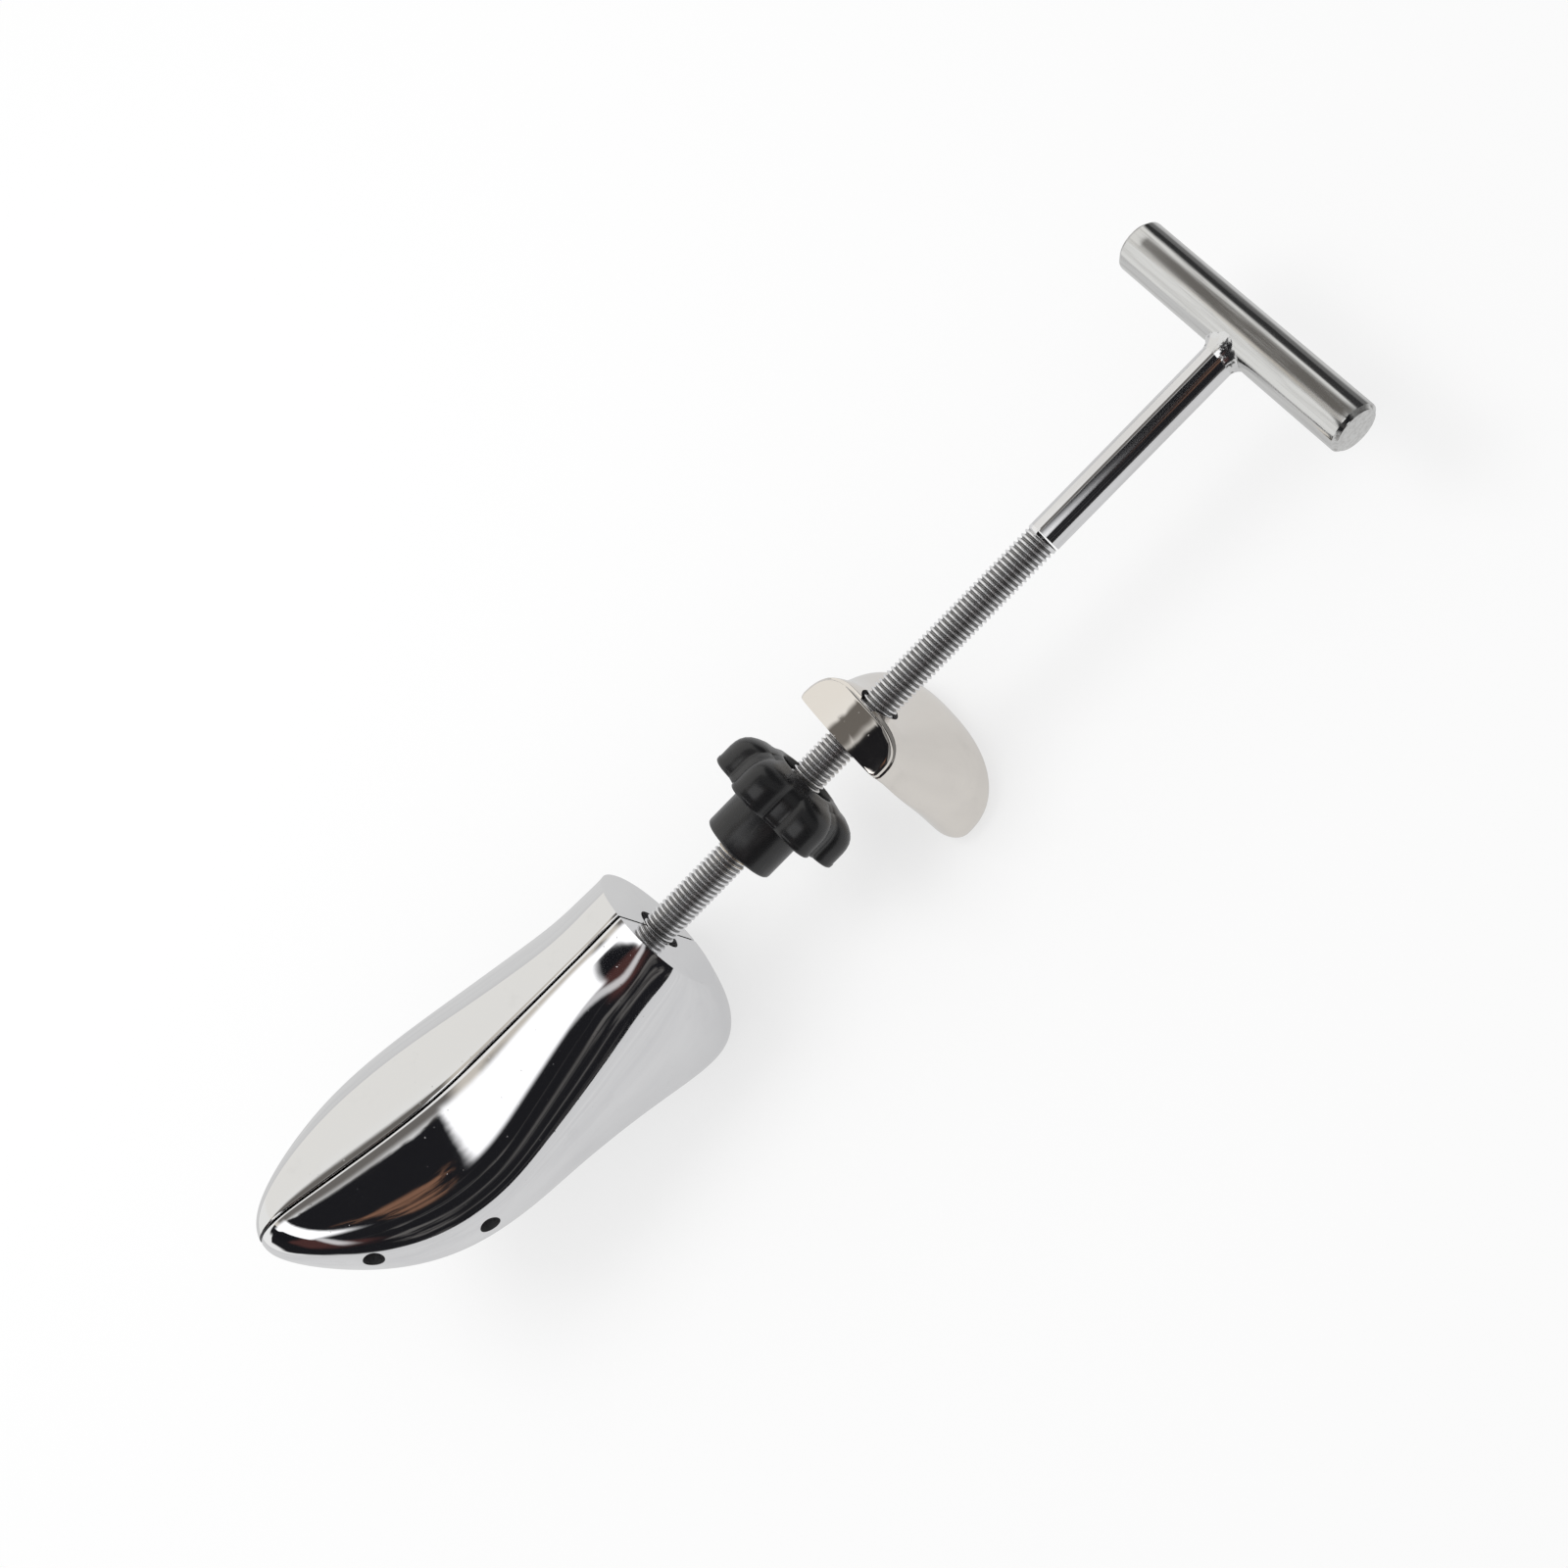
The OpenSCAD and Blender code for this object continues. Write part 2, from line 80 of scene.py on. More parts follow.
def bspline(rows, run):
    """The smooth curve that the rows steer, clamped at both ends."""
    last = len(rows) - 1
    v = min(run, 1 - 1e-9) * (last + 3)
    i = int(v)
    t = v - i
    weights = ((1 - t) ** 3, 3 * t ** 3 - 6 * t * t + 4,
               -3 * t ** 3 + 3 * t * t + 3 * t + 1, t ** 3)
    picked = [rows[max(0, min(last, i - 2 + k))] for k in range(4)]
    return [sum(w * row[n] for w, row in zip(weights, picked)) / 6 for n in range(len(rows[0]))]


def smooth(a, b, x):
    t = max(0.0, min(1.0, (x - a) / (b - a)))
    return t * t * (3 - 2 * t)


def drop(depth, r):
    """How far a round edge of radius r falls at depth from its start, 0 at r and more."""
    k = max(0.0, 1 - depth / r)
    return r - r * math.sqrt(max(0.0, 1 - k * k))


def rounded(c, s, n):
    """Factor that lays the direction (c, s) on a superellipse of power n."""
    return 1 / (abs(c) ** n + abs(s) ** n) ** (1 / n)


# The photograph's angle: leaned over the rod and looking down on the left half
ALPHA, THETA, PHI = (math.radians(a) for a in (9.4, 27.0, 45.6))
VIEW_MIDDLE, VIEW_ASIDE, VIEW_FAR = 53.5, -3.5, 579.0
FOCAL_PX, FRAME_PX, SENSOR = 2170, 1600, 36
LEFT, BACK, UP = Vector((1, 0, 0)), Vector((0, 1, 0)), Vector((0, 0, 1))
TILT = math.sin(THETA) * LEFT + math.cos(THETA) * UP
SIDE = math.cos(THETA) * LEFT - math.sin(THETA) * UP
TO_CAM = math.sin(ALPHA) * BACK + math.cos(ALPHA) * TILT
ALONG = math.cos(ALPHA) * BACK - math.sin(ALPHA) * TILT


def set_camera():
    right = math.cos(PHI) * ALONG + math.sin(PHI) * SIDE
    above = math.sin(PHI) * ALONG - math.cos(PHI) * SIDE
    place = VIEW_MIDDLE * BACK + VIEW_ASIDE * SIDE + VIEW_FAR * TO_CAM
    camera = bpy.data.objects.new("camera", bpy.data.cameras.new("camera"))
    scene.collection.objects.link(camera)
    turn = Matrix((right, above, TO_CAM)).transposed().to_4x4()
    camera.matrix_world = Matrix.Translation(at(*place)) @ turn
    camera.data.sensor_width = SENSOR
    camera.data.lens = FOCAL_PX / FRAME_PX * SENSOR
    camera.data.clip_start = 0.01
    scene.camera = camera


set_camera()


class Wire:
    """An output socket that can be used in a Python expression."""

    def __init__(self, shop, socket):
        self.shop, self.socket = shop, socket

    def _math(self, op, a, b=None):
        ins = {0: a} if b is None else {0: a, 1: b}
        return self.shop.node("ShaderNodeMath", {"operation": op}, ins)

    def __add__(self, other):
        return self._math("ADD", self, other)

    def __radd__(self, other):
        return self._math("ADD", other, self)

    def __sub__(self, other):
        return self._math("SUBTRACT", self, other)

    def __rsub__(self, other):
        return self._math("SUBTRACT", other, self)

    def __mul__(self, other):
        return self._math("MULTIPLY", self, other)

    def __rmul__(self, other):
        return self._math("MULTIPLY", other, self)

    def __pow__(self, other):
        return self._math("POWER", self, other)

    def most(self, other):
        return self._math("MAXIMUM", self, other)

    def size(self):
        return self._math("ABSOLUTE", self)


class Shop:
    """Builds one node tree."""

    def __init__(self, tree):
        self.tree = tree
        tree.nodes.clear()

    def node(self, kind, settings=None, inputs=None, out=0):
        n = self.tree.nodes.new(kind)
        for key, value in (settings or {}).items():
            setattr(n, key, value)
        for key, value in (inputs or {}).items():
            if isinstance(value, Wire):
                self.tree.links.new(value.socket, n.inputs[key])
            else:
                n.inputs[key].default_value = value
        return Wire(self, n.outputs[out]) if len(n.outputs) else None

    def band(self, value, a, b):
        """0 below a, 1 above b, smooth between them."""
        return self.node("ShaderNodeMapRange", {"interpolation_type": "SMOOTHSTEP", "clamp": True},
                         {0: value, 1: a, 2: b, 3: 0.0, 4: 1.0})

    def mix(self, factor, a, b):
        def colour(v):
            return v if isinstance(v, Wire) else (*v, 1)
        return self.node("ShaderNodeMix", {"data_type": "RGBA"},
                         {0: factor, 6: colour(a), 7: colour(b)}, out=2)

    def noise(self, where, scale, detail=2.0, rough=0.5, stretch=None):
        if stretch:
            where = self.node("ShaderNodeMapping", {}, {0: where, 3: stretch})
        return self.node("ShaderNodeTexNoise", {}, {"Vector": where, "Scale": scale,
                                                    "Detail": detail, "Roughness": rough})

    def here(self):
        """Where the shaded point lies on its own piece."""
        return self.node("ShaderNodeTexCoord", out="Object")

    def part(self, where, axis):
        """The x, y or z of a place."""
        return self.node("ShaderNodeSeparateXYZ", {}, {0: where}, out="XYZ".index(axis))

    def metal(self, colour, rough, bumps):
        self.surface({"Base Color": colour, "Metallic": 1.0, "Roughness": rough}, bumps)

    def surface(self, inputs, bumps):
        """The Principled shader, over bumps given as (height, strength, distance)."""
        normal = None
        for height, strength, distance in bumps:
            ins = {"Height": height, "Strength": strength, "Distance": distance}
            if normal:
                ins["Normal"] = normal
            normal = self.node("ShaderNodeBump", {}, ins)
        shader = self.node("ShaderNodeBsdfPrincipled", {}, {**inputs, "Normal": normal})
        self.node("ShaderNodeOutputMaterial", {}, {0: shader})


def material(name, paint):
    mat = bpy.data.materials.new(name)
    mat.use_nodes = True
    paint(Shop(mat.node_tree))
    return mat


def mirror_chrome(tint, smear, speck):
    """Polished plating: faint polishing haze, tiny casting pits and a long slow waviness."""
    def paint(s):
        p = s.here()
        haze = s.noise(p, 38, 4, 0.6)
        patch = s.band(s.noise(p, 90, 5, 0.65), 0.55, 0.75)
        pits = s.band(s.noise(p, 900, 1), 0.76, 0.82)
        lines = s.noise(p, 60, 3, 0.6, (1.0, 0.12, 1.0))
        colour = s.mix(patch * 0.25 + pits * 0.35 * speck, tint, tuple(c * 0.86 for c in tint))
        rough = (0.035 + s.band(haze, 0.45, 0.8) * 0.06 * smear + patch * 0.05 * smear
                 + pits * 0.2)
        s.metal(colour, rough, [(haze, 0.035, 0.0006), (lines, 0.02, 0.0003),
                                (pits, 0.12 * speck, 0.0001)])
    return paint


def satin_steel(tint, smoothest, along):
    """Turned steel: fine tool lines, stretched by along, and a few darker stains."""
    def paint(s):
        p = s.here()
        lines = s.noise(p, 900, 3, 0.6, along)
        stain = s.band(s.noise(p, 140, 4, 0.6), 0.5, 0.75)
        s.metal(s.mix(stain * 0.4, tint, tuple(c * 0.7 for c in tint)),
                smoothest + lines * 0.12 + stain * 0.1, [(lines, 0.08, 0.00005)])
    return paint


def cast_inside(s):
    """Raw cast metal inside the block."""
    p = s.here()
    grain = s.noise(p, 1300, 3, 0.6)
    blot = s.noise(p, 160, 3, 0.5)
    s.metal(s.mix(blot, (0.30, 0.30, 0.31), (0.46, 0.46, 0.47)), 0.42 + grain * 0.2,
            [(grain, 0.35, 0.0002)])


def thread_steel(s):
    """Bright plating, darkened in the roots of the thread as painted shade."""
    p = s.here()
    x = s.part(p, "X")
    dz = s.part(p, "Z") - AXIS_H / 1000
    radius = (x * x + dz * dz) ** 0.5
    # Painted shade: the colour darkens in the roots of the thread
    root = 1 - s.band(radius, 0.0043, 0.0048)
    blot = s.noise(p, 420, 3, 0.6)
    s.metal(s.mix(root * (0.6 + blot * 0.35), (0.95, 0.95, 0.96), (0.17, 0.165, 0.16)),
            0.24 + blot * 0.06 + root * 0.15, [(blot, 0.05, 0.0001)])


def bar_chrome(s):
    """Plating over lengthwise grinding lines, with nicks on the rims of the ends."""
    p = s.here()
    dy = s.part(p, "Y") - (BAR_Y + Y_SHIFT) / 1000
    dz = s.part(p, "Z") - AXIS_H / 1000
    rim = s.band((dy * dy + dz * dz) ** 0.5, 0.0062, 0.0065)
    lines = s.noise(p, 700, 4, 0.62, (0.035, 1.0, 1.0))
    broad = s.noise(p, 210, 3, 0.55, (0.06, 1.0, 1.0))
    end = s.band(s.part(p, "X").size(), 0.0404, 0.0408)
    nick = end * rim * s.band(s.noise(p, 330, 4, 0.7), 0.50, 0.58)
    shade = s.band(lines, 0.42, 0.62) * 0.3 + nick * 0.85
    s.metal(s.mix(shade, (0.74, 0.74, 0.73), (0.44, 0.43, 0.42)),
            0.10 + s.band(lines, 0.4, 0.7) * 0.18 + nick * 0.25,
            [(lines, 0.16, 0.00012), (broad, 0.12, 0.0003)])


def shank_chrome(s):
    """Bright drawn rod with fine draw lines along it."""
    p = s.here()
    lines = s.noise(p, 1500, 3, 0.6, (1.0, 0.02, 1.0))
    blot = s.noise(p, 130, 3, 0.5, (1.0, 0.2, 1.0))
    s.metal(s.mix(s.band(blot, 0.4, 0.7) * 0.3, (0.86, 0.86, 0.87), (0.66, 0.65, 0.64)),
            0.05 + lines * 0.07, [(lines, 0.06, 0.00006)])


def weld_metal(s):
    """Plating over a ground weld: bright, with a few pits."""
    p = s.here()
    lump = s.noise(p, 420, 3, 0.55)
    pits = s.band(s.noise(p, 620, 2, 0.5), 0.60, 0.68)
    s.metal(s.mix(pits * 0.75, (0.80, 0.80, 0.80), (0.16, 0.155, 0.15)),
            0.10 + lump * 0.12 + pits * 0.2, [(lump, 0.25, 0.0004), (pits, 0.2, 0.0001)])


def knob_plastic(s):
    """Satin black moulded plastic, rubbed paler in patches, most of all on the collar."""
    p = s.here()
    y = s.part(p, "Y")
    grain = s.noise(p, 3000, 2, 0.5)
    rub = s.noise(p, 170, 5, 0.68)
    turning = s.noise(p, 260, 4, 0.65, (1.0, 0.25, 1.0))
    collar = 1 - s.band(y, (HEAD_Y + Y_SHIFT - 1.5) / 1000, (HEAD_Y + Y_SHIFT) / 1000)
    scuff = s.band(turning, 0.52, 0.72) * collar * 0.55 + s.band(rub, 0.58, 0.8) * 0.3
    s.surface({"Base Color": s.mix(scuff, (0.009, 0.009, 0.010), (0.06, 0.059, 0.057)),
               "Roughness": 0.24 + grain * 0.06 + scuff * 0.3, "Specular IOR Level": 0.6},
              [(grain, 0.05, 0.00004), (rub, 0.10, 0.0004)])


def yellow_brass(s):
    """Turned brass, browned in places."""
    p = s.here()
    lines = s.noise(p, 800, 3, 0.6, (1.0, 0.1, 1.0))
    stain = s.noise(p, 150, 4, 0.6)
    s.metal(s.mix(s.band(stain, 0.4, 0.75) * 0.6, (0.76, 0.58, 0.28), (0.45, 0.32, 0.15)),
            0.24 + lines * 0.15, [(lines, 0.08, 0.00006)])


def dark_spring(s):
    """Spring wire under an oily film."""
    p = s.here()
    film = s.noise(p, 400, 3, 0.6)
    s.metal(s.mix(film, (0.22, 0.22, 0.23), (0.40, 0.39, 0.38)), 0.3 + film * 0.2,
            [(film, 0.15, 0.0001)])


CHROME_LEFT = material("toe_chrome_left", mirror_chrome((0.88, 0.88, 0.89), 0.5, 1.0))
# The right half's chrome copy has a darker tint, painted shade for the far half
SHADED_CHROME_RIGHT = material("toe_chrome_right_shaded", mirror_chrome((0.84, 0.84, 0.84), 1.0, 1.0))
CAST = material("cast_inside", cast_inside)
HEEL_CHROME = material("heel_chrome", mirror_chrome((0.88, 0.84, 0.79), 1.6, 0.7))
THREAD = material("thread_steel", thread_steel)
SHANK = material("shank_chrome", shank_chrome)
BAR = material("bar_chrome", bar_chrome)
WELD = material("weld_metal", weld_metal)
KNOB = material("knob_plastic", knob_plastic)
BRASS = material("yellow_brass", yellow_brass)
STEEL = material("turned_steel", satin_steel((0.62, 0.63, 0.65), 0.22, (1.0, 1.0, 0.06)))
CONE_STEEL = material("cone_steel", satin_steel((0.64, 0.65, 0.67), 0.16, (0.1, 1.0, 0.1)))
SPRING = material("spring_wire", dark_spring)

# Mesh tolerances, in metres, and edge angles past which shading breaks, in degrees
SEAM, FINE_SEAM = 2e-6, 1e-6
BLOCK_SHARP, HEEL_SHARP, KNOB_SHARP, ROD_SHARP, BAR_SHARP = 38, 40, 45, 60, 30
# A boolean leaves the flat ends of a block with more corners than this
SKIN_CORNERS = 8


def finished(name, bm, mats, body, stands_for, sharp):
    """The bmesh as a smooth object on its body, in place of the CAD node it shows."""
    mesh = bpy.data.meshes.new(name)
    for f in bm.faces:
        f.smooth = True
    bm.to_mesh(mesh)
    bm.free()
    for m in mats:
        mesh.materials.append(m)
    mesh.set_sharp_from_angle(angle=math.radians(sharp))
    obj = bpy.data.objects.new(name, mesh)
    scene.collection.objects.link(obj)
    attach(obj, body)
    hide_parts(stands_for)
    return obj


def skin_grid(bm, nu, nv, where):
    """Adds a grid whose corners (0, 0) to (1, 1) are laid on where(i, j)."""
    made = bmesh.ops.create_grid(bm, x_segments=nu, y_segments=nv, size=1.0)["verts"]
    for v in made:
        v.co = where((v.co.x + 1) / 2, (v.co.y + 1) / 2)
    return made


def weld_seams(bm, merge=SEAM):
    bmesh.ops.remove_doubles(bm, verts=bm.verts, dist=merge)


def face_out(bm):
    bmesh.ops.recalc_face_normals(bm, faces=bm.faces)


def fill_ends(bm):
    bmesh.ops.holes_fill(bm, edges=[e for e in bm.edges if e.is_boundary], sides=0)


def close_up(bm, merge=SEAM):
    """Welds seams, closes the open ends and points every face outwards."""
    weld_seams(bm, merge)
    fill_ends(bm)
    face_out(bm)
    if bm.calc_volume(signed=True) < 0:
        bmesh.ops.reverse_faces(bm, faces=bm.faces)


def spin_line(bm, points, centre, axis, sides):
    """Spins the line through the points full circle."""
    verts = [bm.verts.new(p) for p in points]
    edges = [bm.edges.new(pair) for pair in zip(verts, verts[1:])]
    bmesh.ops.spin(bm, geom=verts + edges, cent=centre, axis=axis, dvec=(0, 0, 0),
                   angle=math.tau, steps=sides, use_merge=True, use_duplicate=False)


def rod_shape(bm, profile, sides):
    """Spins a profile of (radius, y) round the rod axis."""
    spin_line(bm, [at(r, y, 0) for r, y in profile], at(0, 0, 0), (0, 1, 0), sides)


def cutter(build):
    """A closed shape to carve with. Its faces leave the second material, the raw casting."""
    bm = bmesh.new()
    build(bm)
    close_up(bm, FINE_SEAM)
    for f in bm.faces:
        f.material_index = 1
    mesh = bpy.data.meshes.new("cutter")
    bm.to_mesh(mesh)
    bm.free()
    mesh.materials.append(CAST)
    mesh.materials.append(CAST)
    obj = bpy.data.objects.new("cutter", mesh)
    scene.collection.objects.link(obj)
    return obj


def tube_cut(r, a, b, sides=64):
    """A closed cylinder from point a to point b."""
    def build(bm):
        line = b - a
        turned = line.to_track_quat("Z", "Y").to_matrix().to_4x4()
        bmesh.ops.create_cone(bm, cap_ends=True, segments=sides, radius1=r / 1000,
                              radius2=r / 1000, depth=line.length,
                              matrix=Matrix.Translation((a + b) / 2) @ turned)
    return cutter(build)


def box_cut(x0, x1, t0, t1, z0, z1):
    def build(bm):
        mid = at((x0 + x1) / 2, -(t0 + t1) / 2, (z0 + z1) / 2)
        size = Vector((abs(x1 - x0), t1 - t0, z1 - z0)) / 1000
        bmesh.ops.create_cube(bm, size=1.0,
                              matrix=Matrix.Translation(mid) @ Matrix.Diagonal((*size, 1)))
    return cutter(build)


def prism_cut(points, z0, z1):
    """A block over the outline of (x, t) points."""
    def build(bm):
        base = bm.faces.new([bm.verts.new(at(x, -t, z0)) for x, t in points])
        raised = bmesh.ops.extrude_face_region(bm, geom=[base])["geom"]
        bmesh.ops.translate(bm, verts=[g for g in raised if isinstance(g, bmesh.types.BMVert)],
                            vec=(0, 0, (z1 - z0) / 1000))
    return cutter(build)


def carve(obj, cutters):
    """Cuts the cutters out of the piece and keeps its flat ends flat."""
    for c in cutters:
        mod = obj.modifiers.new("cut", "BOOLEAN")
        mod.operation, mod.solver, mod.object = "DIFFERENCE", "EXACT", c
        if hasattr(mod, "material_mode"):
            mod.material_mode = "INDEX"
    view = bpy.context.evaluated_depsgraph_get()
    mesh = bpy.data.meshes.new_from_object(obj.evaluated_get(view))
    obj.modifiers.clear()
    obj.data = mesh
    for c in cutters:
        bpy.data.objects.remove(c, do_unlink=True)
    mesh.set_sharp_from_angle(angle=math.radians(BLOCK_SHARP))
    for face in mesh.polygons:
        if len(face.vertices) > SKIN_CORNERS:
            face.use_smooth = False


# Toe block
SWEEP, RUNS = 84, 150
EDGE, REAR_EDGE = 0.4, 0.6
EDGE_STEPS = (0.0, 0.08, 0.2, 0.38, 0.62, 1.0)
REAR_RUNS = (0.0, 0.0012, 0.003, 0.0055, 0.009)
# The top flares beside the ridge, from FLARE_T to the rear face
FLARE, FLARE_T, FLARE_FROM, FLARE_FULL = 1.1, 18, 0.74, 0.94
# What is cut out of each half, in mm from the slit, from the rear and from the rod axis
SLIT_SIDE = 0.01
ROD_HOLE_R, ROD_HOLE_Y = 6.85, (-21, 2)
NUT_X, NUT_T, NUT_Z = 8.3, (6.3, 17.7), 8.4
TRUNNION_X, TRUNNION_T, TRUNNION_Z = 16.4, (7.1, 16.9), 3.9
CHAMBER = [(-1, 20), (10, 20), (10, 34), (9.35, 35.3), (6.85, 42.4), (4.8, 50.2), (4.8, 58),
           (20, 60), (20, 92), (-1, 92)]
CHAMBER_Z = 9.8
LEAF_X, LEAF_T, LEAF_Z = 2.05, (105.7, 121.4), (22.5, 35.5)
BARREL_R, BARREL_T, BARREL_Z = 3.6, 124, (22, 36)
NOSE_RELIEF, RELIEF_Z, OPENING = 14.6, 60, math.radians(3.5)
# Peg sockets on the flank: run from the rear, sweep in degrees
PEGS = ((0.62, 18), (0.48, 6))
PEG_R, PEG_DEEP, PEG_PROUD = 3.0, 0.0055, 0.003


def sweep_angle(k, edge, reach):
    """Angle of the k-th point from the bottom line to the top line, crowded at both edges."""
    first = [math.asin(min(1, step * edge / reach)) for step in EDGE_STEPS]
    n_edge = len(EDGE_STEPS) - 1
    if k <= n_edge:
        return -math.pi / 2 + first[k]
    if k >= SWEEP - n_edge:
        return math.pi / 2 - first[SWEEP - k]
    lo, hi = -math.pi / 2 + first[-1], math.pi / 2 - first[-1]
    return lo + (hi - lo) * (k - n_edge) / (SWEEP - 2 * n_edge)


def toe_section(row, a):
    """For the angle a of a station: reach out from the slit, as a share of the half width,
    and way up from the bottom line, as a share of the height."""
    level, upper, lower = row[5:]
    c, s = max(0.0, math.cos(a)), math.sin(a)
    r = rounded(c, s, lower if a < 0 else upper)
    return c * r, level + s * r * (level if s < 0 else 1 - level)


def toe_point(run, k, side, rear_in=0.0):
    """A point of a toe half: run from rear to nose, k points up from the bottom line."""
    row = bspline(TOE, run)
    top_t, top_z, low_t, low_z, width = row[:5]
    edge = min(EDGE, 0.3 * width)
    reach = max(1e-3, width - GAP)
    a = sweep_angle(k, edge, reach)
    out, way = toe_section(row, a)
    x = out * reach
    t = low_t + (top_t - low_t) * way
    flare = FLARE * max(0.0, 1 - t / FLARE_T) ** 2 * smooth(FLARE_FROM, FLARE_FULL, math.sin(a))
    fall = drop(x, edge) + rear_in - flare
    z = low_z + (top_z - low_z) * way + (fall if a <= 0 else -fall)
    x = max(0.0, x - rear_in * max(0.0, math.cos(a)))
    return at(side * (GAP + x), -t, max(z, -AXIS_H))


def peg_place(run, sweep, side):
    """Mouth and outward direction of a peg socket on the flank."""
    def p(w, a):
        row = bspline(TOE, w)
        top_t, top_z, low_t, low_z, width = row[:5]
        out, way = toe_section(row, math.radians(a))
        return at(side * (GAP + (width - GAP) * out), -(low_t + (top_t - low_t) * way),
                  low_z + (top_z - low_z) * way)
    n = (p(run + .002, sweep) - p(run - .002, sweep)).cross(p(run, sweep + .5) - p(run, sweep - .5))
    return p(run, sweep), (n * -side).normalized()


def toe_half(side, name, mat, body, node):
    bm = bmesh.new()
    last = len(REAR_RUNS) - 1

    def where(i, j):
        k = round(i * RUNS)
        if k <= last:
            run = REAR_RUNS[k]
            inset = REAR_EDGE * (1 - math.sqrt(max(0, 1 - (1 - k / last) ** 2)))
        else:
            run = REAR_RUNS[-1] + (1 - REAR_RUNS[-1]) * (k - last) / (RUNS - last)
            inset = 0.0
        return toe_point(run, round(j * SWEEP), side, inset)
    made = skin_grid(bm, RUNS, SWEEP, where)
    bm.faces.new(made[0::RUNS + 1])
    bm.faces.new(made[RUNS::RUNS + 1])
    close_up(bm)
    half = finished(name, bm, [mat, CAST], body, node, BLOCK_SHARP)
    relief_x = GAP + NOSE_RELIEF * math.tan(OPENING)
    cuts = [tube_cut(ROD_HOLE_R, *(at(0, y, 0) for y in ROD_HOLE_Y), 96),
            box_cut(-SLIT_SIDE, side * NUT_X, *NUT_T, -NUT_Z, NUT_Z),
            box_cut(-SLIT_SIDE, side * TRUNNION_X, *TRUNNION_T, -TRUNNION_Z, TRUNNION_Z),
            prism_cut([(side * x, t) for x, t in CHAMBER], -CHAMBER_Z, CHAMBER_Z),
            box_cut(-SLIT_SIDE, side * LEAF_X, *LEAF_T, *LEAF_Z),
            tube_cut(BARREL_R, *(at(0, -BARREL_T, z) for z in BARREL_Z)),
            prism_cut([(0, BARREL_T), (side * GAP, BARREL_T),
                       (side * relief_x, BARREL_T + NOSE_RELIEF), (0, BARREL_T + NOSE_RELIEF)],
                      0, RELIEF_Z)]
    for run, sweep in PEGS:
        p, n = peg_place(run, sweep, side)
        cuts.append(tube_cut(PEG_R, p - n * PEG_DEEP, p + n * PEG_PROUD, 48))
    carve(half, cuts)


toe_half(1, "toe_left_shell", CHROME_LEFT, "toe_left", "toe_half_left")
toe_half(-1, "toe_right_shell", SHADED_CHROME_RIGHT, "toe_right", "toe_half_right")

# Heel block
AROUND, LEVELS = 96, 90
FRONT, CORNER = 16, 10
PAD_RUN, PAD_EDGE, PAD_SLOPE, PAD_MIDDLE = 0.16, 1.3, 0.10, 0.4
FOOT_R, PAD_SETTLE = 5.5, 0.02
# The front corners: levels between which they grow, radius across, share of the depth
CORNER_Z, CORNER_R, CORNER_DEEP = (-5, -30), (1.2, 8.2), (0.12, 0.22)
HEEL_HOLE_Y = (60, 120)
# Run at which the loft reaches the floor
HEEL_END = next(k / 4000 for k in range(4000) if bspline(HEEL, k / 4000)[0] <= -AXIS_H)
# Rings of the pad: scale from its middle, then quarter turns round its edge
PAD_STEPS = ((0.0, 0), (0.3, 0), (0.55, 0), (0.75, 0), (0.88, 0), (1.0, 0), (1.0, .25), (1.0, .5),
             (1.0, .72), (1.0, .9), (1.0, 1.0))


def grown(limits, share):
    return limits[0] + (limits[1] - limits[0]) * share


def heel_outline(row, j):
    """A point round one level: flat front, front corners that grow rounder downwards, full
    back."""
    h, w, d, n = row
    below = smooth(*CORNER_Z, h)
    corner = grown(CORNER_R, below)
    c = grown(CORNER_DEEP, below) * d
    k = round(j * AROUND) % AROUND
    back = AROUND - FRONT - 2 * CORNER
    if k <= FRONT:
        return (w - corner) * (2 * k / FRONT - 1), 0.0
    if k < FRONT + CORNER:
        a = (k - FRONT) / CORNER * math.pi / 2
        return w - corner + corner * math.sin(a), c * (1 - math.cos(a))
    if k > FRONT + CORNER + back:
        a = (AROUND - k) / CORNER * math.pi / 2
        return -(w - corner + corner * math.sin(a)), c * (1 - math.cos(a))
    a = (k - FRONT - CORNER) / back * math.pi
    ca, sa = math.cos(a), math.sin(a)
    r = rounded(ca, sa, n)
    return w * ca * r, c + (d - c) * max(0.0, sa) * r


def pad_height(x, d):
    """The crowned pad, d behind its front edge."""
    return PAD_TOP - (CROWN_R - math.sqrt(CROWN_R ** 2 - x * x)) - PAD_SLOPE * d


def heel_point(i, j):
    k = round(i * LEVELS)
    n = len(PAD_STEPS) - 1
    if k <= n:
        scale, bend = PAD_STEPS[k]
        row = bspline(HEEL, PAD_RUN)
        x, d = heel_outline(row, j)
        a = bend * math.pi / 2
        ease = 1 - PAD_EDGE * (1 - math.sin(a)) / row[1]
        middle = PAD_MIDDLE * row[2]
        x *= scale * ease
        d = min(middle + (d - middle) * scale, row[2] * scale * ease + middle * (1 - scale))
        return at(x, HEEL_Y + d, pad_height(x, d) - PAD_EDGE * (1 - math.cos(a)))
    run = PAD_RUN + (HEEL_END - PAD_RUN) * (k - n) / (LEVELS - n)
    row = bspline(HEEL, run)
    x, d = heel_outline(row, j)
    low = drop(row[0] + AXIS_H, FOOT_R)
    x *= 1 - low / row[1]
    d += (row[2] / 2 - d) * low / (row[2] / 2)
    z = min(row[0], pad_height(x, d) - PAD_EDGE - PAD_SETTLE * (k - n))
    return at(x, HEEL_Y + HEEL_LEAN * min(0, row[0]) + d, max(z, -AXIS_H))


